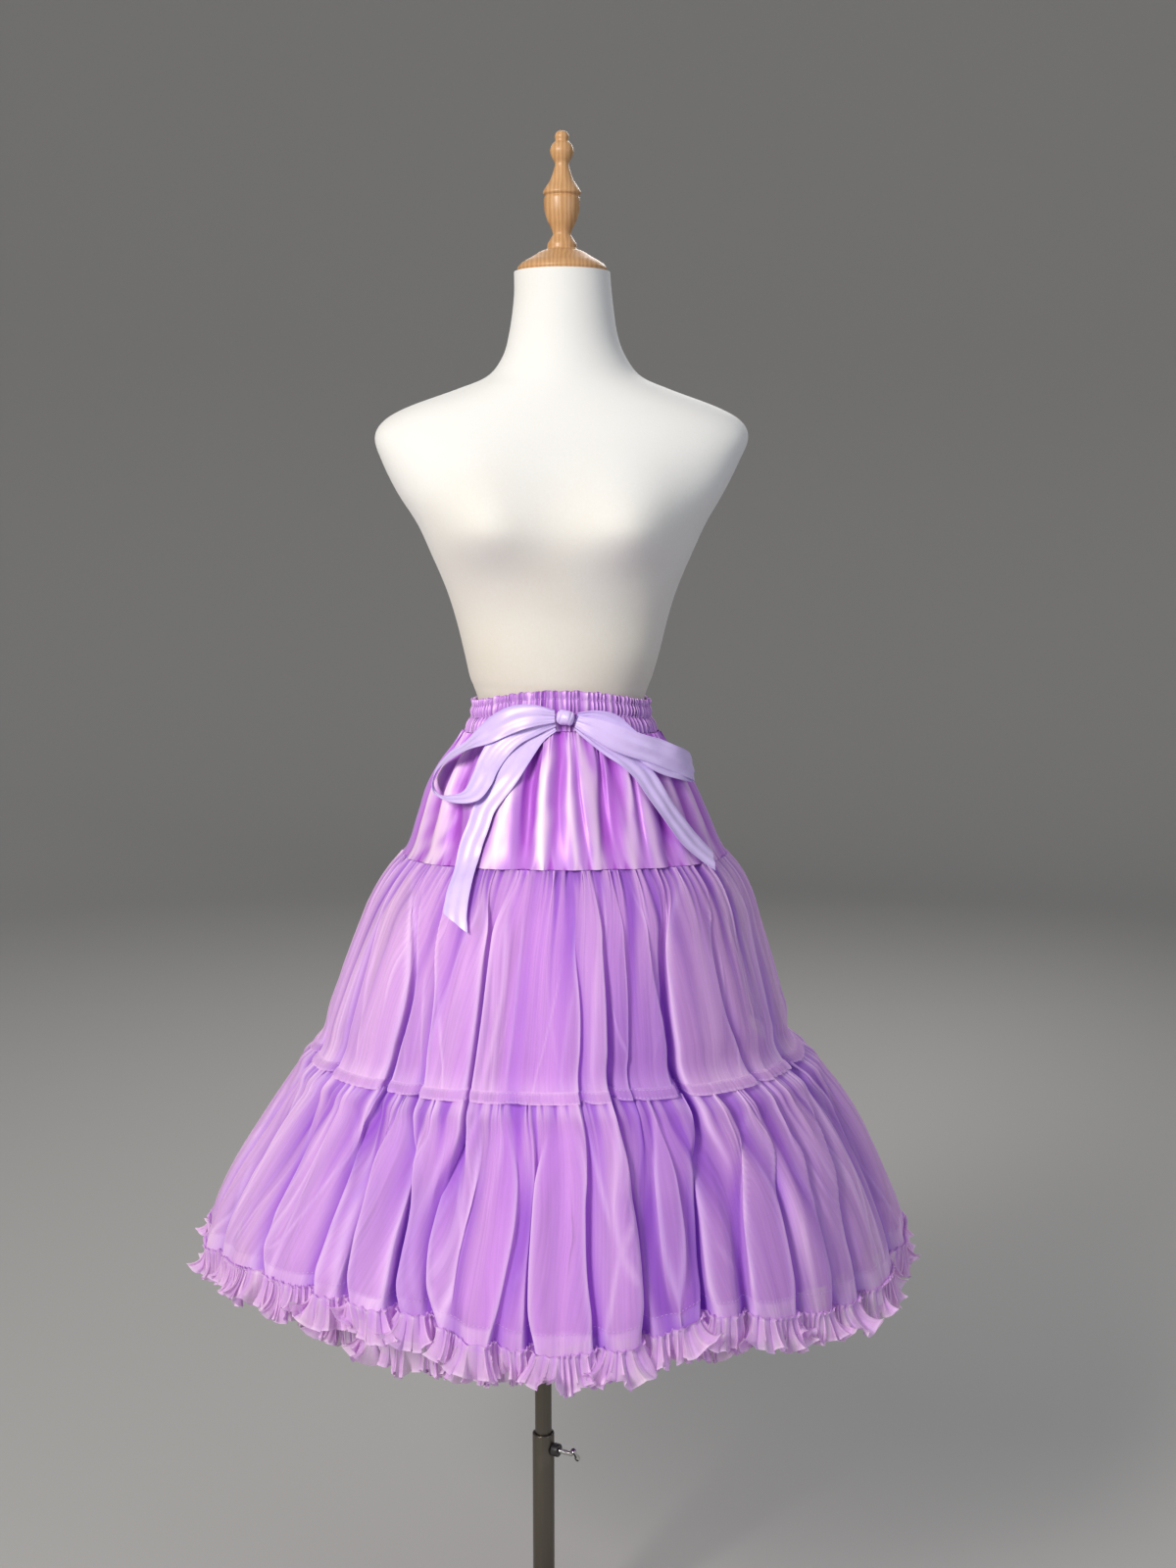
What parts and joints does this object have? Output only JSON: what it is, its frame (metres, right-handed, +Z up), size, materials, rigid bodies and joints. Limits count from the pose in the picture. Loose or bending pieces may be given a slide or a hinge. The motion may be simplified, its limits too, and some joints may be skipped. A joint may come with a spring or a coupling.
{
  "type": "tulle petticoat skirt on a limbless dress form and pole stand",
  "caption": "Knee-length tiered tulle petticoat skirt with a satin yoke, ruched elastic waist and ribbon bow, worn by a limbless dress form on a height-adjustable pole stand.",
  "frame": {"origin": "centre of the base plate's underside, on the pole's axis", "axes": "+Z up along the pole, the front of the skirt with its bow faces -Y, +X is to the right of somebody who looks at the front"},
  "size_m": [0.8208, 0.7534, 1.7305],
  "materials": {
    "satin": "glossy lilac satin, gathered",
    "ribbon": "pale lavender satin ribbon",
    "tulle": "sheer violet tulle",
    "jersey": "off-white knitted cover over foam",
    "beech": "turned and varnished beech",
    "pole_metal": "satin grey steel",
    "base_metal": "satin black paint",
    "bright_metal": "bright plated"
  },
  "bodies": {
    "stand": {"base_plate": "base_metal", "base_hub": "base_metal", "lower_tube": "pole_metal", "clamp_boss": "base_metal"},
    "clamp_screw": {"clamp_stud": "base_metal", "clamp_wing": "bright_metal"},
    "pole": {"upper_tube": "pole_metal"},
    "form": {"socket_flange": "base_metal", "torso": "jersey", "finial": "beech", "waistband": "satin", "yoke_front": "satin", "yoke_back": "satin", "upper_tier_front": "tulle", "upper_tier_back": "tulle", "seam_tape_front": "tulle", "seam_tape_back": "tulle", "lower_tier_front": "tulle", "lower_tier_back": "tulle", "hem_ruffle_front": "tulle", "hem_ruffle_back": "tulle", "under_layer_front": "tulle", "under_layer_back": "tulle", "bow_knot": "ribbon", "bow_loop_left": "ribbon", "bow_loop_right": "ribbon", "bow_tail_left": "ribbon", "bow_tail_right": "ribbon"}
  },
  "joints": [
    {"name": "height_slide", "type": "slide", "parent": "stand", "child": "pole", "axis": [0, 0, 1], "range_m": [-0.1, 0.1]},
    {"name": "form_swivel", "type": "hinge", "parent": "pole", "child": "form", "pos_m": [0, 0, 0.848], "axis": [0, 0, 1], "continuous": true},
    {"name": "clamp_turn", "type": "hinge", "parent": "stand", "child": "clamp_screw", "pos_m": [0, 0, 0.272], "axis": [0.8829, -0.4695, 0], "continuous": true}
  ]
}
